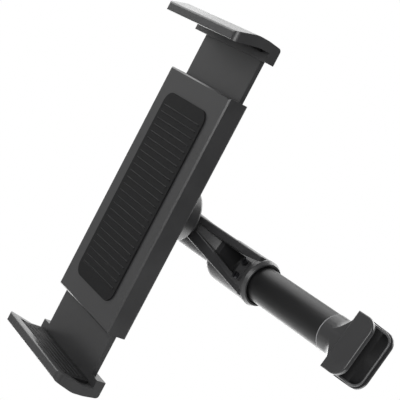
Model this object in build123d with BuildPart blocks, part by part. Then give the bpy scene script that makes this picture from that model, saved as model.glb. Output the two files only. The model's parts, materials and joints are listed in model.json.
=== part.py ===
import os
from math import acos, cos, pi, radians, sin, tan

from build123d import *

os.makedirs("parts", exist_ok=True)

# Fits between pieces, in mm
slide_gap = 0.3
side_fit = 0.05
running_fit = 0.05
seat_fit = 0.02
screw_fit = 0.05

# Bar: X along the bar from the left post seat, Y to the back, Z up the posts
post_radius = 6.0
post_liner = 1.0
saddle_height = 24.2
saddle_depth = 16.6
saddle_length = 9.9
saddle_lip = 1.2
saddle_corner = 5.0
saddle_round = 0.6
liner_inset = 0.9
flare_length = 6.0
hub_x = 47.4
hub_z = 3.75
hub_radius = 5.6
hub_front = 12.5
hub_back = 7.5
spine_radius = 5.4
neck_root = 7.0
neck_start = 15.2
neck_end = 24.0
rib_front = 12.2
rib_front_at_collar = 7.2
rib_top = 8.7
rib_width = 3.4
rib_foot = 1.0
rib_draft = 0.5
rib_round = 0.8
rib_end = 88.0
low_rib_bottom = -1.2
low_rib_top = 3.8
low_rib_foot = 1.6
low_rib_bottom_at_collar = -8.5
low_rib_top_at_collar = -4.7
web_bottom = -1.0
web_bottom_at_bore = -4.0
web_inset = 0.5
pocket_start = 53.5
pocket_floor = 5.5
pocket_bottom = 2.7
pocket_bottom_at_land = -3.5
pocket_inset = 0.3
pocket_corner = 1.0
ramp_front = 11.0
ramp_length = 10.0
ramp_bottom = 0.4

# Telescopic tube and its guide in the sleeve
tube_radius = 7.5
tube_wall = 1.5
tube_tail = 3.6
tube_seam = 132.3
tube_travel = 12.5
right_edge = 152.5
plug_length = 13.0
seam_chamfer = 0.35
boss_step = 0.2
bore_end = 66.0
bore_gap = 0.4
sleeve_start = 61.8
sleeve_mouth = 90.8
sleeve_wall = 1.3
swell_length = 6.5
collar_step = 0.2
collar_length = 3.6
collar_ramp = 0.6
collar_bevel = 1.4
mouth_wall = 0.6
mouth_round = 0.3
bush_wall = 0.8
bush_length = 7.2
bush_inset = 1.6
key_inset = 0.6
key_length = 2.4
key_width = 2.4
key_depth = 1.2
land_rise = 1.4
land_width = 8.8
land_margin = 2.2
bush_screw_inset = 3.2
bush_screw_z = 3.0
bush_screw_radius = 0.8
bush_tip_inset = 0.25
bush_head_radius = 1.35
bush_head_height = 1.1
bush_recess = 0.6

# Ball joint, with the ball centre in front of the bar's axis
ball_reach = 22.5
ball_radius = 6.5
stalk_radius = 4.2
shank_radius = 3.2
shank_end = -1.0
stud_screw_radius = 1.45
stud_head_radius = 2.8
stud_head_seat = 4.8
stud_head_height = 2.2
stud_screw_end = 9.0
liner_wall = 0.95
liner_from = 40.0
liner_to = 112.0
liner_split = 1.2
socket_radius = 9.3
socket_inset = 0.4
nut_radius = 11.5
nut_front = -6.3
nut_back = 6.2
nut_round = 1.5
nut_front_round = 1.0
nut_bore_end = -0.1
nut_seat_end = 3.6
nut_mouth = 7.4
mouth_slope = 16.0
rest_tilt = 12.0
rest_yaw = -8.0
rest_roll = 0.8

# Cradle: x to the right, y to the back from the rest plane, z up from the middle
rail_half = 24.9
rail_reach = 51.1
rail_round = 1.4
pad_thickness = 0.6
pad_half = 17.0
pad_reach = 42.0
pad_corner = 5.0
cover_thickness = 1.6
cover_rib_x = 18.0
cover_rib_width = 3.0
cover_rib_margin = 6.0
cover_bevel = 0.6
lower_front = 4.45
lower_back = 6.55
lower_half = 23.2
upper_back = 8.7
upper_half = 22.2
rear_wall = 1.0
screw_z = 29.0
screw_boss = 3.0
screw_radius = 1.15
screw_head_radius = 2.4
screw_head_height = 1.7
screw_head_gap = 0.2
screw_head_sink = 0.1
screw_end_gap = 0.2
cover_skin = 0.5
axle_skin = 0.3
axle_end_gap = 0.1
boss_root = 0.2
ball_y = 18.1
ball_z = 0.0

# Jaws, as set for a device 143.6 mm long
grip_reach = 71.8
jaw_pad = 1.0
jaw_pad_half = 24.5
jaw_pad_front = 8.4
jaw_pad_corner = 1.5
jaw_half = 28.4
jaw_corner = 2.5
lip_front = 12.7
lip_wall = 1.1
lip_overlap = 1.4
lip_height = 3.7
ridge_rise = 2.6
ridge_front = 3.4
ridge_back = 2.0
ridge_fall = 0.7
jaw_back_drop = 2.8
rim_round = 0.5
inner_rim_round = 0.4
top_round = 1.0
ridge_round = 12.0
back_round = 1.5
arm_end = -34.6
slot_end = 50.5
slot_clear = 8.6

# Rack and pinion
gear_module = 1.0
pinion_teeth = 14
pressure_angle = radians(25.0)
addendum = 0.75
dedendum = 1.0
backlash = 0.10
tooth_root = 0.3
rack_low = -33.5
rack_high = 20.0
axle_radius = 1.5
pinion_hub = 3.0

# Sizes that follow from those above
overrun = 1.0
groove_radius = post_radius + post_liner
boss_radius = tube_radius + boss_step
bore_radius = tube_radius + bore_gap
bush_radius = tube_radius + bush_wall
mouth_radius = bush_radius + mouth_wall
sleeve_radius = bush_radius + sleeve_wall
collar_radius = sleeve_radius + collar_step
collar_start = sleeve_mouth - collar_length
bush_end = sleeve_mouth - bush_inset
bush_start = bush_end - bush_length
bush_screw_x = bush_start + bush_screw_inset
bush_screw_end = tube_radius - bush_tip_inset
key_start = bush_start + key_inset
tube_start = key_start - tube_tail
land_front = bush_radius + land_rise
land_end = collar_start - slide_gap
pocket_end = bush_screw_x - land_margin
pocket_top = rib_top - rib_width
right_post = right_edge - saddle_lip
cover_front = pad_thickness
cover_back = cover_front + cover_thickness
upper_front = lower_back + slide_gap
rail_inside = upper_back + slide_gap
rail_back = rail_inside + rear_wall
boss_split = lower_front
screw_seat = rail_back - screw_head_height - screw_head_sink
seat_radius = ball_radius + liner_wall + 2 * running_fit
pitch_radius = gear_module * pinion_teeth / 2
base_radius = pitch_radius * cos(pressure_angle)
tooth_half = (pi * gear_module / 2 - backlash) / 2
jaw_inside = grip_reach + jaw_pad
lip_rim = grip_reach - lip_overlap
lip_top = lip_rim + lip_height
jaw_ridge = lip_top + ridge_rise
jaw_back_foot = grip_reach - jaw_back_drop

ball_pose = Location((hub_x, -ball_reach, hub_z))
tilt_pose = ball_pose * Location((0, 0, 0), (rest_tilt, 0, 0))
swivel_pose = tilt_pose * Location((0, 0, 0), (0, 0, rest_yaw))
roll_pose = swivel_pose * Location((0, 0, 0), (0, rest_roll, 0))
cradle_pose = roll_pose * Location((0, -ball_y, -ball_z))


def facing_front(y):
    # Plane across Y whose sketch runs in x and z, and whose normal points to the front
    return Plane(origin=(0, y, 0), x_dir=(1, 0, 0), z_dir=(0, -1, 0))


def rod(x, z, radius, front, back):
    # Round bar along Y from its front end to its back end
    with BuildPart() as bar:
        with BuildSketch(facing_front(back)):
            with Locations((x, z)):
                Circle(radius)
        extrude(amount=back - front)
    return bar.part


def saddle_outline(edge, inward, inset):
    # Outline of a saddle from the front, drawn in by the inset; its outer corners are round
    with BuildSketch(facing_front(0)) as outline:
        with Locations((edge + inward * saddle_length / 2, 0)):
            Rectangle(saddle_length - 2 * inset, saddle_height - 2 * inset)
        corners = outline.vertices().sort_by(Axis.X)
        outer = corners[:2] if inward > 0 else corners[2:]
        fillet(outer, saddle_corner - inset)
    return outline.sketch


def saddle_block(edge, inward):
    # Block that bears on one post, and the flare that leads the round bar into it
    with BuildPart() as block:
        extrude(saddle_outline(edge, inward, 0), amount=saddle_depth / 2, both=True)
        fillet(block.faces().filter_by(Axis.Y).edges(), saddle_round)
        with BuildPart(mode=Mode.PRIVATE) as flare:
            wide = edge + inward * saddle_length
            narrow = wide + inward * flare_length
            with BuildSketch(facing_front(0)):
                with BuildLine():
                    TangentArc(
                        (narrow, boss_radius),
                        (wide, saddle_height / 2 - saddle_round),
                        tangent=(-inward, 0),
                    )
                    Polyline(
                        (wide, saddle_height / 2 - saddle_round),
                        (wide - inward, saddle_height / 2 - saddle_round),
                        (wide - inward, 0),
                        (narrow, 0),
                        (narrow, boss_radius),
                    )
                make_face()
            revolve(axis=Axis.X)
            with Locations((wide, 0, 0)):
                Box(4 * flare_length, 2 * boss_radius - saddle_round / 3, saddle_height, mode=Mode.INTERSECT)
        add(flare.part)
    return block.part


def half_round(seat, inward, radius, outward, height):
    # Half-round prism along Z, straight from its centre line to the outside
    with BuildPart() as prism:
        with BuildSketch(Plane.XY):
            with Locations((seat, 0)):
                Circle(radius)
            with Locations((seat - inward * outward / 2, 0)):
                Rectangle(outward, 2 * radius)
            with Locations((seat - inward * (outward + radius), 0)):
                Rectangle(2 * radius, 2 * radius, mode=Mode.SUBTRACT)
        extrude(amount=height / 2, both=True)
    return prism.part


def post_liner_shell(seat, inward):
    # Rubber half-shell that lines the groove of a saddle, a little inside its edges
    with BuildPart() as shell:
        add(half_round(seat, inward, groove_radius - seat_fit, saddle_lip, saddle_height))
        add(half_round(seat, inward, post_radius, 3 * saddle_lip, 2 * saddle_height), mode=Mode.SUBTRACT)
        extrude(
            saddle_outline(seat - inward * saddle_lip, inward, liner_inset),
            amount=saddle_depth,
            both=True,
            mode=Mode.INTERSECT,
        )
    return shell.part


def post_groove(seat, inward):
    return half_round(seat, inward, groove_radius, 3 * saddle_lip, 2 * saddle_height)


def cross_recess(x, z, head_radius, front, back):
    # Cross for a driver in the head of a screw, in proportion to the head
    length = 1.2 * head_radius
    width = length / 4
    with BuildPart() as cross:
        with BuildSketch(facing_front(back)):
            with Locations((x, z)):
                Rectangle(length, width)
                Rectangle(width, length)
        extrude(amount=back - front)
    return cross.part


def bush_screw_hole(side):
    # Hole of one of the two screws that hold the bush, through the sleeve and into the bush
    z = side * bush_screw_z
    return rod(bush_screw_x, z, bush_screw_radius + screw_fit, -land_front - overrun, -tube_radius / 2)


def rib(start, end):
    # Rib with straight sides between two sections; its two front edges are rounded
    with BuildPart() as bar:
        for x, corners in ((hub_x, start), (rib_end, end)):
            with BuildSketch(Plane.YZ.offset(x)):
                with BuildLine():
                    Polyline(*corners, close=True)
                make_face()
        loft(ruled=True)
        long_edges = bar.edges().filter_by(lambda edge: abs(edge.tangent_at(0.5).X) > 0.5)
        fillet(long_edges.sort_by(Axis.Y)[:2], rib_round)
    return bar.part


# Corners of the ribs in y and z, from front bottom round to back bottom
top_rib_at_hub = [
    (-rib_front, pocket_top),
    (-rib_front, rib_top),
    (-rib_foot, rib_top + rib_draft),
    (-rib_foot, pocket_top - rib_draft),
]
top_rib_at_collar = [
    (-rib_front_at_collar, pocket_top),
    (-rib_front_at_collar, rib_top),
    (-rib_foot, rib_top + rib_draft),
    (-rib_foot, pocket_top - rib_draft),
]
low_rib_at_hub = [
    (-rib_front, low_rib_bottom),
    (-rib_front, low_rib_top),
    (-rib_foot, low_rib_top + rib_draft),
    (-rib_foot, -low_rib_foot),
]
low_rib_at_collar = [
    (-rib_front_at_collar, low_rib_bottom_at_collar),
    (-rib_front_at_collar, low_rib_top_at_collar),
    (-rib_foot, low_rib_top_at_collar + rib_draft),
    (-rib_foot, low_rib_bottom_at_collar - rib_draft),
]

# Bar body: left saddle, neck, hub, ribs and sleeve in one moulding
with BuildPart() as arm_body:
    add(saddle_block(-saddle_lip, 1))
    with BuildSketch(facing_front(0)):
        with BuildLine():
            Polyline((neck_root, 0), (neck_root, boss_radius), (neck_start, boss_radius))
            Spline((neck_start, boss_radius), (neck_end, spine_radius), tangents=((1, 0), (1, 0)))
            Line((neck_end, spine_radius), (sleeve_start, spine_radius))
            Spline(
                (sleeve_start, spine_radius),
                (sleeve_start + swell_length, sleeve_radius),
                tangents=((0.35, 1), (1, 0)),
            )
            Polyline(
                (sleeve_start + swell_length, sleeve_radius),
                (collar_start, sleeve_radius),
                (collar_start + collar_ramp, collar_radius),
                (sleeve_mouth - collar_bevel, collar_radius),
                (sleeve_mouth - mouth_round, mouth_radius + mouth_round),
                (sleeve_mouth, mouth_radius),
                (sleeve_mouth, 0),
                (neck_root, 0),
            )
        make_face()
    revolve(axis=Axis.X)
    add(rod(hub_x, hub_z, hub_radius, -hub_front, hub_back))
    # Top rib along the bar and lower rib slanting down, both fading into the collar
    add(rib(top_rib_at_hub, top_rib_at_collar))
    add(rib(low_rib_at_hub, low_rib_at_collar))
    # Web that closes the triangle between the ribs
    with BuildSketch(facing_front(0)):
        with BuildLine():
            Polyline(
                (hub_x, web_bottom),
                (bore_end, web_bottom_at_bore),
                (bore_end, rib_top - web_inset),
                (hub_x, rib_top - web_inset),
                close=True,
            )
        make_face()
    extrude(amount=pocket_floor)
    # Land for the two screws, between the pocket and the collar
    with BuildSketch(facing_front(0)):
        with Locations(((pocket_end + land_end) / 2, 0)):
            Rectangle(land_end - pocket_end, land_width)
    extrude(amount=land_front)
    # Pocket between the ribs, which opens into the bore of the sleeve
    with BuildSketch(facing_front(-pocket_floor)) as pocket:
        with BuildLine():
            Polyline(
                (pocket_start, pocket_bottom),
                (pocket_end, pocket_bottom_at_land),
                (pocket_end, pocket_top - pocket_inset),
                (pocket_start, pocket_top - pocket_inset),
                close=True,
            )
        make_face()
        fillet(pocket.vertices(), pocket_corner)
    extrude(amount=2 * rib_front, mode=Mode.SUBTRACT)
    # Ramp from the hub down to the floor of the pocket
    with BuildSketch(Plane.XY.offset(ramp_bottom)):
        with BuildLine():
            Polyline(
                (hub_x, -ramp_front),
                (pocket_start, -ramp_front),
                (pocket_start + ramp_length, -pocket_floor),
                (pocket_start + ramp_length, -rib_foot),
                (hub_x, -rib_foot),
                close=True,
            )
        make_face()
    extrude(amount=pocket_top + rib_width / 2 - ramp_bottom)
    add(post_groove(0, 1), mode=Mode.SUBTRACT)
    with BuildSketch(Plane.YZ.offset(bore_end)):
        Circle(bore_radius)
    extrude(amount=bush_start - bore_end, mode=Mode.SUBTRACT)
    with BuildSketch(Plane.YZ.offset(bush_start)):
        Circle(bush_radius)
    extrude(amount=sleeve_mouth - bush_start + overrun, mode=Mode.SUBTRACT)
    hub_end = hub_back + overrun
    add(rod(hub_x, hub_z, shank_radius + seat_fit, -hub_front - overrun, shank_end), mode=Mode.SUBTRACT)
    add(rod(hub_x, hub_z, stud_screw_radius + screw_fit, shank_end - overrun, hub_end), mode=Mode.SUBTRACT)
    add(rod(hub_x, hub_z, stud_head_radius + slide_gap, stud_head_seat, hub_end), mode=Mode.SUBTRACT)
    for side in (-1, 1):
        add(bush_screw_hole(side), mode=Mode.SUBTRACT)
arm_body.part.label = "arm_body"
export_step(arm_body.part, "parts/arm_body.step")

# Rubber shell in the left saddle
with BuildPart() as post_liner_left:
    add(post_liner_shell(0, 1))
post_liner_left.part.label = "post_liner_left"
export_step(post_liner_left.part, "parts/post_liner_left.step")

# Ball stud, with its shank in the hub
with BuildPart() as ball_stud:
    with Locations((hub_x, -ball_reach, hub_z)):
        Sphere(ball_radius)
    add(rod(hub_x, hub_z, stalk_radius, -ball_reach, -hub_front))
    add(rod(hub_x, hub_z, shank_radius, -hub_front - overrun, shank_end - seat_fit))
    thread = rod(hub_x, hub_z, stud_screw_radius + screw_fit, -stud_screw_end - overrun, 0)
    add(thread, mode=Mode.SUBTRACT)
ball_stud.part.label = "ball_stud"
export_step(ball_stud.part, "parts/ball_stud.step")

# Screw that draws the stud into the hub from the back
with BuildPart() as stud_screw:
    head_end = stud_head_seat + stud_head_height
    add(rod(hub_x, hub_z, stud_screw_radius, -stud_screw_end, stud_head_seat))
    add(rod(hub_x, hub_z, stud_head_radius, stud_head_seat, head_end))
    recess = cross_recess(hub_x, hub_z, stud_head_radius, (stud_head_seat + head_end) / 2, head_end + overrun)
    add(recess, mode=Mode.SUBTRACT)
stud_screw.part.label = "stud_screw"
export_step(stud_screw.part, "parts/stud_screw.step")

# Guide bush in the sleeve mouth, with a key at the back
with BuildPart() as guide_bush:
    with BuildSketch(Plane.YZ.offset(bush_start + seat_fit)):
        Circle(bush_radius - seat_fit)
        Circle(tube_radius + running_fit, mode=Mode.SUBTRACT)
    extrude(amount=bush_end - bush_start)
    key_height = key_depth + bush_wall / 2
    with Locations((key_start + key_length / 2, tube_radius - key_depth + key_height / 2, 0)):
        Box(key_length, key_height, key_width)
    for side in (-1, 1):
        add(bush_screw_hole(side), mode=Mode.SUBTRACT)
guide_bush.part.label = "guide_bush"
export_step(guide_bush.part, "parts/guide_bush.step")

# Two screws that hold the bush
with BuildPart() as bush_screws:
    for side in (-1, 1):
        z = side * bush_screw_z
        head_front = -land_front - bush_head_height
        add(rod(bush_screw_x, z, bush_screw_radius, head_front, -bush_screw_end))
        add(rod(bush_screw_x, z, bush_head_radius, head_front, -land_front))
        recess = cross_recess(bush_screw_x, z, bush_head_radius, head_front - overrun, head_front + bush_recess)
        add(recess, mode=Mode.SUBTRACT)
bush_screws.part.label = "bush_screws"
export_step(bush_screws.part, "parts/bush_screws.step")

# Sliding tube; the slot at the back runs on the key and stops it at both ends
with BuildPart() as tube:
    with BuildSketch(Plane.YZ.offset(tube_start)):
        Circle(tube_radius)
    extrude(amount=tube_seam - tube_start)
    chamfer(tube.edges().filter_by(GeomType.CIRCLE), seam_chamfer)
    with BuildSketch(Plane.YZ.offset(tube_start)):
        Circle(tube_radius - tube_wall)
    extrude(amount=tube_seam - tube_start, mode=Mode.SUBTRACT)
    slot_from = key_start - slide_gap
    slot_to = key_start + key_length + tube_travel + slide_gap
    with Locations(((slot_from + slot_to) / 2, tube_radius, 0)):
        Box(slot_to - slot_from, 3 * tube_wall, key_width + 2 * running_fit, mode=Mode.SUBTRACT)
tube.part.label = "tube"
export_step(tube.part, "parts/tube.step")

# Right saddle, with a boss against the end of the tube and a plug inside it
with BuildPart() as saddle_end:
    add(saddle_block(right_edge, -1))
    with BuildPart(mode=Mode.PRIVATE) as boss:
        with BuildSketch(Plane.YZ.offset(tube_seam)):
            Circle(boss_radius)
        extrude(amount=right_edge - saddle_length - tube_seam)
        fillet(boss.edges().sort_by(Axis.X)[0], seam_chamfer)
    add(boss.part)
    with BuildSketch(Plane.YZ.offset(tube_seam - plug_length)):
        Circle(tube_radius - tube_wall - seat_fit)
    extrude(amount=plug_length)
    add(post_groove(right_post, -1), mode=Mode.SUBTRACT)
saddle_end.part.label = "saddle_end"
export_step(saddle_end.part, "parts/saddle_end.step")

# Rubber shell in the right saddle
with BuildPart() as post_liner_right:
    add(post_liner_shell(right_post, -1))
post_liner_right.part.label = "post_liner_right"
export_step(post_liner_right.part, "parts/post_liner_right.step")

# Split bearing ring round the ball, built about the ball centre
with BuildPart() as ball_liner:
    inner = ball_radius + running_fit
    outer = inner + liner_wall
    near = radians(liner_from)
    far = radians(liner_to)
    middle = (near + far) / 2
    with BuildSketch(Plane.XY):
        with BuildLine():
            ThreePointArc(
                (outer * sin(near), -outer * cos(near)),
                (outer * sin(middle), -outer * cos(middle)),
                (outer * sin(far), -outer * cos(far)),
            )
            Line((outer * sin(far), -outer * cos(far)), (inner * sin(far), -inner * cos(far)))
            ThreePointArc(
                (inner * sin(far), -inner * cos(far)),
                (inner * sin(middle), -inner * cos(middle)),
                (inner * sin(near), -inner * cos(near)),
            )
            Line((inner * sin(near), -inner * cos(near)), (outer * sin(near), -outer * cos(near)))
        make_face()
    revolve(axis=Axis.Y)
    with Locations((0, 0, -ball_radius)):
        Box(liner_split, 4 * ball_radius, 2 * ball_radius, mode=Mode.SUBTRACT)
ball_liner.part.move(tilt_pose)
ball_liner.part.label = "ball_liner"
export_step(ball_liner.part, "parts/ball_liner.step")

# Ring nut that squeezes the liner, built about the ball centre
with BuildPart() as ring_nut:
    with BuildSketch(facing_front(nut_back)):
        Circle(nut_radius)
    extrude(amount=nut_back - nut_front)
    fillet(ring_nut.edges().sort_by(Axis.Y)[-1], nut_round)
    fillet(ring_nut.edges().sort_by(Axis.Y)[0], nut_front_round)
    with BuildSketch(facing_front(nut_bore_end)):
        Circle(socket_radius + running_fit)
    extrude(amount=nut_bore_end - nut_front + overrun, mode=Mode.SUBTRACT)
    Sphere(seat_radius, mode=Mode.SUBTRACT)
    # Mouth in which the stalk swings
    with BuildSketch(facing_front(nut_back)):
        Circle(nut_mouth)
    extrude(amount=nut_back - nut_seat_end, taper=mouth_slope, mode=Mode.SUBTRACT)
ring_nut.part.move(swivel_pose)
ring_nut.part.label = "ring_nut"
export_step(ring_nut.part, "parts/ring_nut.step")

# Rail housing: rear shell with a stepped guide for the two arms and the socket boss
with BuildPart() as rail_housing:
    with BuildSketch(Plane.XY) as section:
        with Locations((0, (cover_back + rail_back) / 2)):
            Rectangle(2 * rail_half, rail_back - cover_back)
        fillet(section.vertices().sort_by(Axis.Y)[-2:], rail_round)
        with Locations((0, (cover_back + lower_back + slide_gap / 2) / 2)):
            Rectangle(
                2 * (lower_half + side_fit),
                lower_back + slide_gap / 2 - cover_back,
                mode=Mode.SUBTRACT,
            )
        with Locations((0, (lower_back + rail_inside) / 2)):
            Rectangle(2 * (upper_half + side_fit), rail_inside - lower_back, mode=Mode.SUBTRACT)
    extrude(amount=rail_reach, both=True)
    with BuildPart(mode=Mode.PRIVATE) as socket:
        add(rod(0, ball_z, socket_radius, rail_back, ball_y - socket_inset))
        with Locations((0, ball_y, ball_z)):
            Sphere(seat_radius, mode=Mode.SUBTRACT)
    add(socket.part)
    for side in (-1, 1):
        z = side * screw_z
        add(rod(0, z, screw_boss, boss_split, rail_inside + rear_wall / 2))
        add(rod(0, z, screw_radius + screw_fit, cover_back, rail_back), mode=Mode.SUBTRACT)
        counterbore = rod(0, z, screw_head_radius + screw_head_gap, screw_seat, rail_back + overrun)
        add(counterbore, mode=Mode.SUBTRACT)
    add(rod(0, 0, axle_radius + seat_fit, cover_back, rail_back - axle_skin), mode=Mode.SUBTRACT)
rail_housing.part.move(cradle_pose)
rail_housing.part.label = "rail_housing"
export_step(rail_housing.part, "parts/rail_housing.step")

# Front cover, with two ribs that keep the arms in their layers
with BuildPart() as front_cover:
    with BuildSketch(facing_front(cover_back)):
        Rectangle(2 * rail_half, 2 * rail_reach)
    extrude(amount=cover_thickness)
    chamfer(front_cover.faces().sort_by(Axis.Y)[0].edges(), cover_bevel)
    cover_rib_end = lower_front - slide_gap
    for side in (-1, 1):
        with Locations((side * cover_rib_x, (cover_back + cover_rib_end) / 2, 0)):
            Box(cover_rib_width, cover_rib_end - cover_back, 2 * (rail_reach - cover_rib_margin))
        add(rod(0, side * screw_z, screw_boss, cover_back - boss_root, boss_split))
        pilot_end = cover_front + cover_skin
        pilot = rod(0, side * screw_z, screw_radius + screw_fit, pilot_end, boss_split + overrun)
        add(pilot, mode=Mode.SUBTRACT)
    add(rod(0, 0, axle_radius + seat_fit, cover_front + cover_skin, boss_split), mode=Mode.SUBTRACT)
front_cover.part.move(cradle_pose)
front_cover.part.label = "front_cover"
export_step(front_cover.part, "parts/front_cover.step")

# Two screws from the back of the housing into the cover
with BuildPart() as cover_screws:
    for side in (-1, 1):
        z = side * screw_z
        head_end = screw_seat + screw_head_height
        add(rod(0, z, screw_radius, cover_front + cover_skin + screw_end_gap, screw_seat))
        add(rod(0, z, screw_head_radius, screw_seat, head_end))
        recess = cross_recess(0, z, screw_head_radius, (screw_seat + head_end) / 2, head_end + overrun)
        add(recess, mode=Mode.SUBTRACT)
cover_screws.part.move(cradle_pose)
cover_screws.part.label = "cover_screws"
export_step(cover_screws.part, "parts/cover_screws.step")

# Rubber pad the tablet rests on
with BuildPart() as rest_pad:
    with BuildSketch(facing_front(cover_front)):
        RectangleRounded(2 * pad_half, 2 * pad_reach, pad_corner)
    extrude(amount=pad_thickness)
rest_pad.part.move(cradle_pose)
rest_pad.part.label = "rest_pad"
export_step(rest_pad.part, "parts/rest_pad.step")

# Pin across the housing for the pinion
with BuildPart() as pinion_axle:
    axle_front = cover_front + cover_skin + axle_end_gap
    add(rod(0, 0, axle_radius, axle_front, rail_back - axle_skin - screw_fit))
pinion_axle.part.move(cradle_pose)
pinion_axle.part.label = "pinion_axle"
export_step(pinion_axle.part, "parts/pinion_axle.step")


def involute(angle):
    return tan(angle) - angle


def flank_point(radius, side):
    # Point of a tooth flank at one radius, for a tooth that points along x
    turn = tooth_half / pitch_radius + involute(pressure_angle) - involute(acos(base_radius / radius))
    return (radius * cos(turn), side * radius * sin(turn))


# Pinion: involute teeth on a hub
with BuildPart() as pinion:
    tip_radius = pitch_radius + addendum
    root_radius = pitch_radius - dedendum
    foot_turn = tooth_half / pitch_radius + involute(pressure_angle)
    foot_radius = root_radius - tooth_root
    foot = (foot_radius * cos(foot_turn), foot_radius * sin(foot_turn))
    radii = [base_radius + (tip_radius - base_radius) * step / 4 for step in range(5)]
    right_flank = [flank_point(radius, 1) for radius in radii]
    left_flank = [flank_point(radius, -1) for radius in radii]
    with BuildSketch(facing_front(upper_back)) as gear:
        Circle(root_radius)
        with BuildSketch(mode=Mode.PRIVATE) as tooth:
            with BuildLine():
                Line(foot, right_flank[0])
                Spline(*right_flank)
                Line(right_flank[-1], left_flank[-1])
                Spline(*left_flank)
                Line(left_flank[0], (foot[0], -foot[1]))
                Line((foot[0], -foot[1]), foot)
            make_face()
        with PolarLocations(0, pinion_teeth):
            add(tooth.sketch)
    extrude(amount=upper_back - lower_front)
    add(rod(0, 0, pinion_hub, cover_back + slide_gap, upper_back))
    add(rod(0, 0, axle_radius + running_fit, cover_back, rail_back), mode=Mode.SUBTRACT)
pinion.part.move(cradle_pose)
pinion.part.label = "pinion"
export_step(pinion.part, "parts/pinion.step")


def forked_arm(front, back, half_width):
    # Flat arm with an open slot; the rack stands on the slot's right side
    pitch = pi * gear_module
    root_x = pitch_radius + dedendum
    tip_x = pitch_radius - addendum
    root_half = tooth_half + dedendum * tan(pressure_angle)
    tip_half = tooth_half - addendum * tan(pressure_angle)
    with BuildPart() as arm:
        with BuildSketch(facing_front(back)):
            with Locations((0, (arm_end + jaw_inside) / 2)):
                Rectangle(2 * half_width, jaw_inside - arm_end)
            with Locations(((root_x - slot_clear) / 2, (arm_end + slot_end) / 2)):
                Rectangle(root_x + slot_clear, slot_end - arm_end, mode=Mode.SUBTRACT)
            first = int(rack_low / pitch - 0.5)
            last = int(rack_high / pitch - 0.5)
            for index in range(first, last + 1):
                z = (index + 0.5) * pitch
                with BuildLine():
                    Polyline(
                        (root_x + tooth_root, z - root_half),
                        (root_x, z - root_half),
                        (tip_x, z - tip_half),
                        (tip_x, z + tip_half),
                        (root_x, z + root_half),
                        (root_x + tooth_root, z + root_half),
                        close=True,
                    )
                make_face()
        extrude(amount=back - front)
    return arm.part


def jaw(arm_front, arm_back, arm_half):
    # Upper jaw with its arm: a hooked section along x, whose inside slopes up to the lip
    with BuildPart() as clamp:
        with BuildSketch(Plane.YZ) as section:
            lip_inside = (lip_wall - lip_front, lip_rim)
            top_front = (-lip_front, lip_top)
            top_back = (upper_back, jaw_ridge - ridge_fall)
            with BuildLine():
                Polyline(
                    (-lip_front, lip_rim),
                    top_front,
                    (-ridge_front, jaw_ridge),
                    (ridge_back, jaw_ridge),
                    top_back,
                    (upper_back, jaw_back_foot),
                    (lower_front, jaw_back_foot),
                    (lower_front, jaw_inside),
                    (0, jaw_inside),
                    lip_inside,
                    close=True,
                )
            make_face()
            rounds = [
                ((-lip_front, lip_rim), rim_round),
                (lip_inside, inner_rim_round),
                (top_front, top_round),
                ((-ridge_front, jaw_ridge), ridge_round),
                ((ridge_back, jaw_ridge), ridge_round),
                (top_back, back_round),
            ]
            for corner, radius in rounds:
                fillet(section.vertices().sort_by_distance(corner)[0], radius)
        extrude(amount=jaw_half, both=True)
        # Round the upright corners
        with BuildSketch(Plane.XY.offset(jaw_back_foot - overrun)) as plan:
            with Locations((0, (upper_back - lip_front) / 2)):
                Rectangle(2 * jaw_half, upper_back + lip_front)
            fillet(plan.vertices().sort_by(Axis.Y)[:2], jaw_corner)
        extrude(amount=jaw_ridge - jaw_back_foot + 2 * overrun, mode=Mode.INTERSECT)
        # Seat of the pad
        with BuildSketch(Plane.XY.offset(lip_rim - overrun)):
            with Locations((0, (lower_front - jaw_pad_front) / 2)):
                Rectangle(2 * (jaw_pad_half + slide_gap), lower_front + jaw_pad_front)
        extrude(amount=jaw_inside - lip_rim + overrun, mode=Mode.SUBTRACT)
        add(forked_arm(arm_front, arm_back, arm_half))
    return clamp.part


def pad_of_jaw():
    # Rubber pad in the seat of the upper jaw
    depth = lower_front + jaw_pad_front - 2 * slide_gap
    with BuildPart() as pad:
        with BuildSketch(Plane.XY.offset(grip_reach)):
            with Locations((0, (lower_front - jaw_pad_front) / 2)):
                RectangleRounded(2 * jaw_pad_half, depth, jaw_pad_corner)
        extrude(amount=jaw_pad)
    return pad.part


# Upper jaw, its arm in the rear layer
with BuildPart() as upper_jaw:
    add(jaw(upper_front, upper_back, upper_half))
upper_jaw.part.move(cradle_pose)
upper_jaw.part.label = "upper_jaw"
export_step(upper_jaw.part, "parts/upper_jaw.step")

# Rubber pad of the upper jaw
with BuildPart() as upper_jaw_pad:
    add(pad_of_jaw())
upper_jaw_pad.part.move(cradle_pose)
upper_jaw_pad.part.label = "upper_jaw_pad"
export_step(upper_jaw_pad.part, "parts/upper_jaw_pad.step")

# Lower jaw: the same jaw turned over, its arm in the front layer
with BuildPart() as lower_jaw:
    add(jaw(lower_front, lower_back, lower_half), rotation=(0, 180, 0))
lower_jaw.part.move(cradle_pose)
lower_jaw.part.label = "lower_jaw"
export_step(lower_jaw.part, "parts/lower_jaw.step")

# Rubber pad of the lower jaw
with BuildPart() as lower_jaw_pad:
    add(pad_of_jaw(), rotation=(0, 180, 0))
lower_jaw_pad.part.move(cradle_pose)
lower_jaw_pad.part.label = "lower_jaw_pad"
export_step(lower_jaw_pad.part, "parts/lower_jaw_pad.step")
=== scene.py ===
import json
from math import radians

import bmesh
import bpy
from mathutils import Matrix, Vector


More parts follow.
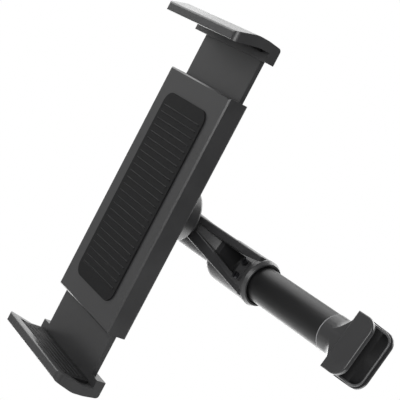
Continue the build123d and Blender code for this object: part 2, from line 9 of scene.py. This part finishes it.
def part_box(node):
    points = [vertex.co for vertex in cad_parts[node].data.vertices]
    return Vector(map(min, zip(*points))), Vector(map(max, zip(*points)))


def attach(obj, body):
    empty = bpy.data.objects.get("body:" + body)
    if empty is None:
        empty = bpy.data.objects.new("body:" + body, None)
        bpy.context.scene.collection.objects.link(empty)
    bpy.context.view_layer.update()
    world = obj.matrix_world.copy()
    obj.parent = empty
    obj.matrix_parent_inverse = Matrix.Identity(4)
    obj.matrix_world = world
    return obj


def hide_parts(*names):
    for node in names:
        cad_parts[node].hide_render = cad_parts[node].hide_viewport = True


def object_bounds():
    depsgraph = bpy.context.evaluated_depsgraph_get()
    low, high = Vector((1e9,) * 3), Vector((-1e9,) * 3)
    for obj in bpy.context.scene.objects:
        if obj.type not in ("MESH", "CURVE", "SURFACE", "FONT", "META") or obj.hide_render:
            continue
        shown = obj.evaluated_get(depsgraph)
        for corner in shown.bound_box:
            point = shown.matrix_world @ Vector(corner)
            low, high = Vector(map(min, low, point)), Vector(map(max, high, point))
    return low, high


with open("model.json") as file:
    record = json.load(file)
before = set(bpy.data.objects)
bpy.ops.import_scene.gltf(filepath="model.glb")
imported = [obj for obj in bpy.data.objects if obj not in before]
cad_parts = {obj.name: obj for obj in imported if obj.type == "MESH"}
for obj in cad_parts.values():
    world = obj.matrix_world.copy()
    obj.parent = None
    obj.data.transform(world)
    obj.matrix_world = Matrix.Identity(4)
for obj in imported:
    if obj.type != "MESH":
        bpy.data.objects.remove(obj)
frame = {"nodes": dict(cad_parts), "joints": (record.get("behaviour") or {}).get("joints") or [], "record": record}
cad_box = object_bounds()


# Bar body: left saddle, neck, hub, ribs and sleeve in one piece.
# Black ABS, injection moulded in a spark-eroded mould, so under a thin glossy skin there is a
# satin of very fine pits that spreads each highlight, uneven where the melt slowed.
def linear(hex_colour):
    # sRGB hex to the linear colour that a shader socket takes
    values = [int(hex_colour[i:i + 2], 16) / 255 for i in (1, 3, 5)]
    return [v / 12.92 if v <= 0.04045 else ((v + 0.055) / 1.055) ** 2.4 for v in values] + [1.0]


def add_node(tree, kind, links=(), inputs=(), **settings):
    # One node with its settings, its fixed inputs and the links that come into it
    made = tree.nodes.new(kind)
    for name, value in settings.items():
        setattr(made, name, value)
    for socket, value in dict(inputs).items():
        made.inputs[socket].default_value = value
    for socket, source in dict(links).items():
        tree.links.new(source, made.inputs[socket])
    return made


def new_material(name):
    # Empty material and its node tree
    made = bpy.data.materials.new(name)
    made.use_nodes = True
    made.node_tree.nodes.clear()
    return made, made.node_tree


def shade(ramp, *stops):
    # Sets a colour ramp to a dark and a light stop
    for element, (position, hex_colour) in zip(ramp.color_ramp.elements, stops):
        element.position = position
        element.color = linear(hex_colour)


def dress(material, *nodes):
    # Gives CAD nodes a material
    for node in nodes:
        mesh = frame["nodes"][node].data
        mesh.materials.clear()
        mesh.materials.append(material)


mm = 0.001
abs_pit = 0.35 * mm      # real pits are about 0.12 mm; drawn coarser so that they show
abs_flow = 16 * mm       # width of the marks that the slowing melt leaves in the gloss

moulded_abs, tree = new_material("moulded_black_abs")
place = add_node(tree, "ShaderNodeTexCoord")
pits = add_node(tree, "ShaderNodeTexNoise", {"Vector": place.outputs["Object"]},
                {"Scale": 1 / abs_pit, "Detail": 3.0, "Roughness": 0.6})
flow = add_node(tree, "ShaderNodeTexNoise", {"Vector": place.outputs["Object"]},
                {"Scale": 1 / abs_flow, "Detail": 4.0, "Roughness": 0.55})
gloss = add_node(tree, "ShaderNodeMapRange", {"Value": flow.outputs["Fac"]},
                 {"From Min": 0.3, "From Max": 0.7, "To Min": 0.44, "To Max": 0.54})
tone = add_node(tree, "ShaderNodeValToRGB", {"Fac": flow.outputs["Fac"]})
shade(tone, (0.3, "#29292a"), (0.75, "#303031"))
skin = add_node(tree, "ShaderNodeBump", {"Height": pits.outputs["Fac"]},
                {"Strength": 0.14, "Distance": 0.06 * mm})
shader = add_node(tree, "ShaderNodeBsdfPrincipled",
                  {"Base Color": tone.outputs["Color"], "Roughness": gloss.outputs["Result"],
                   "Normal": skin.outputs["Normal"]},
                  {"IOR": 1.54, "Coat Weight": 0.5, "Coat Roughness": 0.24})
add_node(tree, "ShaderNodeOutputMaterial", {"Surface": shader.outputs["BSDF"]})
dress(moulded_abs, "arm_body")


# Rubber half-shells in the saddles, which keep the bar from sliding on the posts.
# Black nitrile rubber, compression moulded with a lip round the inner edge and glued in,
# so it is a matt black, deeper than the plastic, and mottled by a faint bloom.
rubber_grain = 0.5 * mm      # real grain is about 0.1 mm; drawn coarser so that it shows
rubber_bloom = 7 * mm

moulded_rubber, tree = new_material("moulded_black_nitrile_rubber")
place = add_node(tree, "ShaderNodeTexCoord")
grain = add_node(tree, "ShaderNodeTexNoise", {"Vector": place.outputs["Object"]},
                 {"Scale": 1 / rubber_grain, "Detail": 5.0, "Roughness": 0.65})
bloom = add_node(tree, "ShaderNodeTexNoise", {"Vector": place.outputs["Object"]},
                 {"Scale": 1 / rubber_bloom, "Detail": 3.0, "Roughness": 0.5})
tone = add_node(tree, "ShaderNodeValToRGB", {"Fac": bloom.outputs["Fac"]})
shade(tone, (0.35, "#0f0f10"), (0.7, "#171718"))
matt = add_node(tree, "ShaderNodeMapRange", {"Value": bloom.outputs["Fac"]},
                {"From Min": 0.3, "From Max": 0.7, "To Min": 0.56, "To Max": 0.7})
skin = add_node(tree, "ShaderNodeBump", {"Height": grain.outputs["Fac"]},
                {"Strength": 0.25, "Distance": 0.08 * mm})
shader = add_node(tree, "ShaderNodeBsdfPrincipled",
                  {"Base Color": tone.outputs["Color"], "Roughness": matt.outputs["Result"],
                   "Normal": skin.outputs["Normal"]}, {"IOR": 1.52, "Specular IOR Level": 0.26})
add_node(tree, "ShaderNodeOutputMaterial", {"Surface": shader.outputs["BSDF"]})

# The lip is painted a lighter grey than the moulded skin, a painted highlight that makes it read as a bright thin
# line, and it is shinier
lip_mark = 0.8 * mm      # real marks are about 0.1 mm; drawn coarser so that they show

lip_highlight_rubber, tree = new_material("lip_rubber_with_painted_highlight")
place = add_node(tree, "ShaderNodeTexCoord")
marks = add_node(tree, "ShaderNodeTexNoise", {"Vector": place.outputs["Object"]},
                 {"Scale": 1 / lip_mark, "Detail": 4.0, "Roughness": 0.6})
tone = add_node(tree, "ShaderNodeValToRGB", {"Fac": marks.outputs["Fac"]})
# the lighter grey of the lip is a painted highlight, not the rubber's own colour
shade(tone, (0.35, "#4a4a4b"), (0.7, "#585859"))
polish = add_node(tree, "ShaderNodeMapRange", {"Value": marks.outputs["Fac"]},
                  {"From Min": 0.3, "From Max": 0.7, "To Min": 0.3, "To Max": 0.42})
skin = add_node(tree, "ShaderNodeBump", {"Height": marks.outputs["Fac"]},
                {"Strength": 0.1, "Distance": 0.05 * mm})
shader = add_node(tree, "ShaderNodeBsdfPrincipled",
                  {"Base Color": tone.outputs["Color"], "Roughness": polish.outputs["Result"],
                   "Normal": skin.outputs["Normal"]}, {"IOR": 1.52})
add_node(tree, "ShaderNodeOutputMaterial", {"Surface": shader.outputs["BSDF"]})


def new_tree(name, **inputs):
    # Geometry tree that takes and gives one mesh, with a named input for each size
    made = bpy.data.node_groups.new(name, "GeometryNodeTree")
    made.interface.new_socket("Geometry", in_out="INPUT", socket_type="NodeSocketGeometry")
    for label, kind in inputs.items():
        made.interface.new_socket(label, in_out="INPUT", socket_type="NodeSocket" + kind)
    made.interface.new_socket("Geometry", in_out="OUTPUT", socket_type="NodeSocketGeometry")
    return made, add_node(made, "NodeGroupInput")


cad_weld = 0.001 * mm      # corners of CAD triangles that lie closer than this are one


def rubber_copy(name, node):
    # Copy of a CAD solid with its triangles joined, to be finished in rubber
    mesh = bpy.data.meshes.new(name)
    joined = bmesh.new()
    joined.from_mesh(frame["nodes"][node].data)
    bmesh.ops.remove_doubles(joined, verts=joined.verts, dist=cad_weld)
    joined.to_mesh(mesh)
    joined.free()
    piece = bpy.data.objects.new(name, mesh)
    bpy.context.scene.collection.objects.link(piece)
    return piece


def grow(piece, tree, **sizes):
    # Runs a geometry tree on a piece and keeps the result as a plain mesh
    modifier = piece.modifiers.new(tree.name, "NODES")
    modifier.node_group = tree
    for socket in tree.interface.items_tree:
        if socket.in_out == "INPUT" and socket.name in sizes:
            modifier[socket.identifier] = sizes[socket.name]
    shown = piece.evaluated_get(bpy.context.evaluated_depsgraph_get())
    grown = bpy.data.meshes.new_from_object(shown)
    piece.modifiers.remove(modifier)
    piece.data = grown


def stand_for(piece, node, body):
    # Lets a rubber piece take the place of its CAD solid
    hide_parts(node)
    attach(piece, body)


# Lip that follows the inner edge of a shell: its sharp edges that lie on the post
lip_radius = 0.5 * mm
lip_sides = 12
lip_search = 0.05 * mm      # how far off the post such an edge may lie
lip_bend = 0.5              # radians between two faces, above which their edge is sharp
level_only = (1.0, 1.0, 0.0)      # drops the height, because the posts stand upright

shell_lip, given = new_tree("lip_round_a_shell", Centre="Vector", Reach="Float", Bend="Float",
                            Radius="Float")
spot = add_node(shell_lip, "GeometryNodeInputPosition")
offset = add_node(shell_lip, "ShaderNodeVectorMath",
                  {0: spot.outputs["Position"], 1: given.outputs["Centre"]}, operation="SUBTRACT")
level = add_node(shell_lip, "ShaderNodeVectorMath", {0: offset.outputs["Vector"]},
                 {1: level_only}, operation="MULTIPLY")
reach = add_node(shell_lip, "ShaderNodeVectorMath", {0: level.outputs["Vector"]},
                 operation="LENGTH")
on_post = add_node(shell_lip, "FunctionNodeCompare",
                   {"A": reach.outputs["Value"], "B": given.outputs["Reach"]},
                   operation="LESS_THAN")
angle = add_node(shell_lip, "GeometryNodeInputMeshEdgeAngle")
sharp = add_node(shell_lip, "FunctionNodeCompare",
                 {"A": angle.outputs["Unsigned Angle"], "B": given.outputs["Bend"]},
                 operation="GREATER_THAN")
chosen = add_node(shell_lip, "FunctionNodeBooleanMath",
                  {0: on_post.outputs["Result"], 1: sharp.outputs["Result"]}, operation="AND")
edge = add_node(shell_lip, "GeometryNodeMeshToCurve",
                {"Mesh": given.outputs["Geometry"], "Selection": chosen.outputs["Boolean"]})
profile = add_node(shell_lip, "GeometryNodeCurvePrimitiveCircle",
                   {"Radius": given.outputs["Radius"]}, {"Resolution": lip_sides})
lip = add_node(shell_lip, "GeometryNodeCurveToMesh",
               {"Curve": edge.outputs["Curve"], "Profile Curve": profile.outputs["Curve"]})
moulded = add_node(shell_lip, "GeometryNodeSetMaterial", {"Geometry": given.outputs["Geometry"]},
                   {"Material": moulded_rubber})
# the lip gets the lighter grey of its painted highlight
highlighted_lip = add_node(shell_lip, "GeometryNodeSetMaterial", {"Geometry": lip.outputs["Mesh"]},
                  {"Material": lip_highlight_rubber})
whole = add_node(shell_lip, "GeometryNodeJoinGeometry", {"Geometry": moulded.outputs["Geometry"]})
shell_lip.links.new(highlighted_lip.outputs["Geometry"], whole.inputs["Geometry"])
add_node(shell_lip, "NodeGroupOutput", {"Geometry": whole.outputs["Geometry"]})

mounts = {mount["name"]: mount for mount in frame["record"]["mounts"]}
post_radius = mounts["post_left"]["dims"]["r_mm"] * mm

for side, body in (("left", "bar"), ("right", "sliding_end")):
    shell = rubber_copy("post_shell_" + side, "post_liner_" + side)
    grow(shell, shell_lip, Centre=mounts["post_" + side]["pos_m"], Reach=post_radius + lip_search,
         Bend=lip_bend, Radius=lip_radius)
    stand_for(shell, "post_liner_" + side, body)


# Ball stud, the split ring round its ball, the bush in the sleeve and the gear.
# Black acetal, moulded in a polished mould because these pieces rub on others, so they are
# smoother than the ABS, with faint scuffs where they turn and slide.
acetal_scuff = 1.2 * mm      # real scuffs are about 0.05 mm wide; drawn coarser so that they show

moulded_acetal, tree = new_material("moulded_black_acetal")
place = add_node(tree, "ShaderNodeTexCoord")
scuffs = add_node(tree, "ShaderNodeTexNoise", {"Vector": place.outputs["Object"]},
                  {"Scale": 1 / acetal_scuff, "Detail": 6.0, "Roughness": 0.7, "Distortion": 1.5})
tone = add_node(tree, "ShaderNodeValToRGB", {"Fac": scuffs.outputs["Fac"]})
shade(tone, (0.4, "#202021"), (0.8, "#2d2d2e"))
polish = add_node(tree, "ShaderNodeMapRange", {"Value": scuffs.outputs["Fac"]},
                  {"From Min": 0.35, "From Max": 0.7, "To Min": 0.22, "To Max": 0.36})
skin = add_node(tree, "ShaderNodeBump", {"Height": scuffs.outputs["Fac"]},
                {"Strength": 0.05, "Distance": 0.05 * mm})
shader = add_node(tree, "ShaderNodeBsdfPrincipled",
                  {"Base Color": tone.outputs["Color"], "Roughness": polish.outputs["Result"],
                   "Normal": skin.outputs["Normal"]}, {"IOR": 1.48})
add_node(tree, "ShaderNodeOutputMaterial", {"Surface": shader.outputs["BSDF"]})
dress(moulded_acetal, "ball_stud", "ball_liner", "guide_bush", "pinion")


# Screws of the stud, the bush and the cover, and the pin of the gear.
# Cold-headed steel with a black phosphate coat, oiled, so it is a dark grey metal with a dull
# sheen, a little brighter in patches where handling has worn the coat.
phosphate_crystal = 0.4 * mm      # real ones are about 0.02 mm; drawn coarser so that they show
phosphate_wear = 1.6 * mm         # width of a worn patch

black_steel, tree = new_material("black_phosphated_steel")
place = add_node(tree, "ShaderNodeTexCoord")
crystals = add_node(tree, "ShaderNodeTexVoronoi", {"Vector": place.outputs["Object"]},
                    {"Scale": 1 / phosphate_crystal})
worn = add_node(tree, "ShaderNodeTexNoise", {"Vector": place.outputs["Object"]},
                {"Scale": 1 / phosphate_wear, "Detail": 5.0, "Roughness": 0.6})
tone = add_node(tree, "ShaderNodeValToRGB", {"Fac": worn.outputs["Fac"]})
shade(tone, (0.4, "#2c2c2e"), (0.75, "#55555a"))
sheen = add_node(tree, "ShaderNodeMapRange", {"Value": crystals.outputs["Distance"]},
                 {"From Min": 0.0, "From Max": 0.8, "To Min": 0.34, "To Max": 0.52})
skin = add_node(tree, "ShaderNodeBump", {"Height": crystals.outputs["Distance"]},
                {"Strength": 0.1, "Distance": 0.04 * mm})
shader = add_node(tree, "ShaderNodeBsdfPrincipled",
                  {"Base Color": tone.outputs["Color"], "Roughness": sheen.outputs["Result"],
                   "Normal": skin.outputs["Normal"]}, {"Metallic": 1.0})
add_node(tree, "ShaderNodeOutputMaterial", {"Surface": shader.outputs["BSDF"]})
dress(black_steel, "stud_screw", "bush_screws", "cover_screws", "pinion_axle")


# Sliding tube, pressed outwards by a spring inside it.
# Drawn steel tube with a satin black powder coat, so long soft highlights run down it, broken a
# little by the orange peel of the coat. A thin band at its cut end is painted light grey, a painted
# highlight that stands for the bright thin line at the seam.
coat_peel = 1.1 * mm
coat_speck = 0.3 * mm      # melted grains are about 0.04 mm; drawn coarser so that they show
# width of the painted highlight at the cut end
highlight_rim = 0.35 * mm
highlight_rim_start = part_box("tube")[1][0] - highlight_rim
mix_coat, mix_highlight, mixed = 6, 7, 2      # colour sockets, which share their names with others

powder_coat, tree = new_material("satin_black_powder_coated_steel")
place = add_node(tree, "ShaderNodeTexCoord")
peel = add_node(tree, "ShaderNodeTexNoise", {"Vector": place.outputs["Object"]},
                {"Scale": 1 / coat_peel, "Detail": 2.0, "Roughness": 0.45})
specks = add_node(tree, "ShaderNodeTexNoise", {"Vector": place.outputs["Object"]},
                  {"Scale": 1 / coat_speck, "Detail": 3.0, "Roughness": 0.6})
tone = add_node(tree, "ShaderNodeValToRGB", {"Fac": specks.outputs["Fac"]})
shade(tone, (0.35, "#101011"), (0.75, "#161617"))
along = add_node(tree, "ShaderNodeSeparateXYZ", {"Vector": place.outputs["Object"]})
at_highlight_rim = add_node(tree, "ShaderNodeMath", {0: along.outputs["X"]}, {1: highlight_rim_start},
                  operation="GREATER_THAN")
# painted highlight: light grey in place of the coat in a thin band at the cut end
colour = add_node(tree, "ShaderNodeMix",
                  {"Factor": at_highlight_rim.outputs["Value"], mix_coat: tone.outputs["Color"]},
                  {mix_highlight: linear("#9a9a9c")}, data_type="RGBA")
satin = add_node(tree, "ShaderNodeMapRange", {"Value": specks.outputs["Fac"]},
                 {"From Min": 0.3, "From Max": 0.7, "To Min": 0.36, "To Max": 0.43})
skin = add_node(tree, "ShaderNodeBump", {"Height": peel.outputs["Fac"]},
                {"Strength": 0.05, "Distance": 0.05 * mm})
shader = add_node(tree, "ShaderNodeBsdfPrincipled",
                  {"Base Color": colour.outputs[mixed], "Roughness": satin.outputs["Result"],
                   "Normal": skin.outputs["Normal"]}, {"IOR": 1.5})
add_node(tree, "ShaderNodeOutputMaterial", {"Surface": shader.outputs["BSDF"]})
dress(powder_coat, "tube")


# Right saddle, ring nut, and the housing and cover of the cradle.
# The same moulded ABS as the bar body; the saddle is plugged into the tube, the nut squeezes
# the ball, and two screws hold the cover to the housing.
dress(moulded_abs, "saddle_end", "ring_nut", "rail_housing", "front_cover")


# Pad that the tablet rests on, stuck to the cover.
# The same rubber as the saddles' shells, moulded with low beads across the cradle.
def joint(name):
    # A joint of the frame by its name
    return next(made for made in frame["joints"] if made["name"] == name)


cradle_middle = Vector(mounts["device_grip"]["pos_m"])
cradle_up = Vector(joint("upper_slide")["axis"])
cradle_front = Vector(joint("spin")["axis"])
cradle_right = cradle_up.cross(cradle_front)
across_cradle = Matrix((cradle_up, cradle_front, cradle_right)).transposed().to_euler()

# Beads side by side, each a thin rod across the cradle
bead_radius = 0.5 * mm
bead_sides = 10
bead_sunk = 0.3 * mm      # depth of a bead's axis below the face of its pad

pad_beads, given = new_tree("beads_across_a_pad", First="Vector", Step="Vector", Turn="Rotation",
                            Count="Int", Radius="Float", Length="Float")
stations = add_node(pad_beads, "GeometryNodeMeshLine",
                    {"Count": given.outputs["Count"], "Start Location": given.outputs["First"],
                     "Offset": given.outputs["Step"]})
bead = add_node(pad_beads, "GeometryNodeMeshCylinder",
                {"Radius": given.outputs["Radius"], "Depth": given.outputs["Length"]},
                {"Vertices": bead_sides})
beads = add_node(pad_beads, "GeometryNodeInstanceOnPoints",
                 {"Points": stations.outputs["Mesh"], "Instance": bead.outputs["Mesh"],
                  "Rotation": given.outputs["Turn"]})
real = add_node(pad_beads, "GeometryNodeRealizeInstances",
                {"Geometry": beads.outputs["Instances"]})
whole = add_node(pad_beads, "GeometryNodeJoinGeometry", {"Geometry": given.outputs["Geometry"]})
pad_beads.links.new(real.outputs["Geometry"], whole.inputs["Geometry"])
coated = add_node(pad_beads, "GeometryNodeSetMaterial", {"Geometry": whole.outputs["Geometry"]},
                  {"Material": moulded_rubber})
add_node(pad_beads, "NodeGroupOutput", {"Geometry": coated.outputs["Geometry"]})

rest_bead_length = 30 * mm
rest_bead_step = 3 * mm
rest_bead_count = 25
rest_bead_rise = cradle_up * rest_bead_step

rest = rubber_copy("rest_pad_ribbed", "rest_pad")
lowest = cradle_middle - cradle_front * bead_sunk - rest_bead_rise * (rest_bead_count - 1) / 2
grow(rest, pad_beads, First=lowest, Step=rest_bead_rise, Turn=across_cradle,
     Count=rest_bead_count, Radius=bead_radius, Length=rest_bead_length)
stand_for(rest, "rest_pad", "cradle")


# Upper and lower jaw, each in one piece with its toothed arm, and the pads in their seats.
# The jaws are the same moulded ABS as the bar body; the pads are the same rubber as the shells,
# with beads along the edge of the tablet, and are glued in.
dress(moulded_abs, "upper_jaw", "lower_jaw")

grip_reach = 71.8 * mm      # from the middle of the cradle to the face of each pad
jaw_bead_length = 44 * mm
jaw_bead_step = 2 * mm
jaw_bead_count = 5
jaw_bead_first = 6 * mm     # in front of the rest plane

for side, outward in (("upper", cradle_up), ("lower", -cradle_up)):
    pad = rubber_copy(side + "_jaw_pad_ribbed", side + "_jaw_pad")
    first = cradle_middle + outward * (grip_reach + bead_sunk) + cradle_front * jaw_bead_first
    grow(pad, pad_beads, First=first, Step=-cradle_front * jaw_bead_step, Turn=across_cradle,
         Count=jaw_bead_count, Radius=bead_radius, Length=jaw_bead_length)
    stand_for(pad, side + "_jaw_pad", side + "_grip")


# Studio: a camera, a pale table below the mount, a white surround, and soft panels of light. The
# large one at the upper left draws the long highlight, those at the back whiten the rims, and
# two small ones near the camera pick out the edges.
camera_place = Vector((0.40434, -0.34427, -0.01076))
camera_heading = radians(47.227)      # to the left of the back
camera_tilt = radians(92.860)         # up from straight down
camera_roll = radians(36.181)

camera_data = bpy.data.cameras.new("camera")
camera_data.sensor_width = 36.0
camera_data.lens = 106.35
camera = bpy.data.objects.new("camera", camera_data)
camera.matrix_world = (Matrix.Translation(camera_place) @ Matrix.Rotation(camera_heading, 4, "Z")
                       @ Matrix.Rotation(camera_tilt, 4, "X") @ Matrix.Rotation(camera_roll, 4, "Z"))
bpy.context.scene.collection.objects.link(camera)
bpy.context.scene.camera = camera

# Round table of pale opal acrylic, faintly lit from below, so that the undersides get a soft light
table_drop = 550 * mm
table_radius = 750 * mm
table_sides = 96
table_glow = 0.1
table_haze = 6.0      # cloudy patches in a metre

lit_acrylic, tree = new_material("opal_acrylic_lit_from_below")
place = add_node(tree, "ShaderNodeTexCoord")
haze = add_node(tree, "ShaderNodeTexNoise", {"Vector": place.outputs["Object"]},
                {"Scale": table_haze, "Detail": 2.0})
tone = add_node(tree, "ShaderNodeValToRGB", {"Fac": haze.outputs["Fac"]})
shade(tone, (0.3, "#d8d8d8"), (0.7, "#dedede"))
shader = add_node(tree, "ShaderNodeBsdfPrincipled",
                  {"Base Color": tone.outputs["Color"], "Emission Color": tone.outputs["Color"]},
                  {"Roughness": 0.8, "Emission Strength": table_glow})
add_node(tree, "ShaderNodeOutputMaterial", {"Surface": shader.outputs["BSDF"]})

middle = (Vector(cad_box[0]) + Vector(cad_box[1])) / 2
disc = bmesh.new()
bmesh.ops.create_circle(disc, cap_ends=True, segments=table_sides, radius=table_radius,
                        matrix=Matrix.Translation((middle.x, middle.y, -table_drop)))
table_mesh = bpy.data.meshes.new("table")
disc.to_mesh(table_mesh)
disc.free()
table_mesh.materials.append(lit_acrylic)
table = bpy.data.objects.new("table", table_mesh)
bpy.context.scene.collection.objects.link(table)

# White to the eye, dim as a light, so that the panels and the table draw the highlights
surround_light = 0.15
surround_seen = 1.0

world = bpy.data.worlds.new("white_surround")
world.use_nodes = True
tree = world.node_tree
tree.nodes.clear()
lit = add_node(tree, "ShaderNodeBackground",
               inputs={"Color": linear("#ffffff"), "Strength": surround_light})
seen = add_node(tree, "ShaderNodeBackground",
                inputs={"Color": linear("#ffffff"), "Strength": surround_seen})
ray = add_node(tree, "ShaderNodeLightPath")
both = add_node(tree, "ShaderNodeMixShader",
                {0: ray.outputs["Is Camera Ray"], 1: lit.outputs["Background"],
                 2: seen.outputs["Background"]})
add_node(tree, "ShaderNodeOutputWorld", {"Surface": both.outputs["Shader"]})
bpy.context.scene.world = world
bpy.context.scene.view_settings.view_transform = "Standard"


def soft_light(name, towards, distance, size, power):
    # Square light panel that faces the mount from one side; metres and watts
    data = bpy.data.lights.new(name, "AREA")
    data.size = size
    data.energy = power
    panel = bpy.data.objects.new(name, data)
    panel.location = middle + Vector(towards).normalized() * distance
    panel.rotation_euler = Vector(towards).to_track_quat("Z", "Y").to_euler()
    panel.visible_camera = False
    bpy.context.scene.collection.objects.link(panel)


soft_light("upper_left", towards=(-0.73, -0.1, 0.66), distance=1.1, size=1.4, power=11.0)
soft_light("left_front", towards=(-0.83, -0.5, -0.1), distance=1.0, size=0.9, power=0.8)
soft_light("left_back", towards=(-0.74, 0.67, 0.05), distance=1.0, size=1.1, power=4.5)
soft_light("left_back_low", towards=(-0.66, 0.6, -0.42), distance=1.0, size=0.8, power=5.0)
soft_light("top_back", towards=(0.0, 0.7, 0.7), distance=1.0, size=0.8, power=9.0)
soft_light("low_back", towards=(0.2, 0.75, -0.63), distance=0.55, size=0.55, power=2.0)
soft_light("right_front", towards=(0.5, -0.86, 0.1), distance=1.0, size=0.6, power=5.0)
soft_light("beside_camera", towards=(0.73, -0.68, 0.1), distance=1.0, size=0.6, power=2.0)
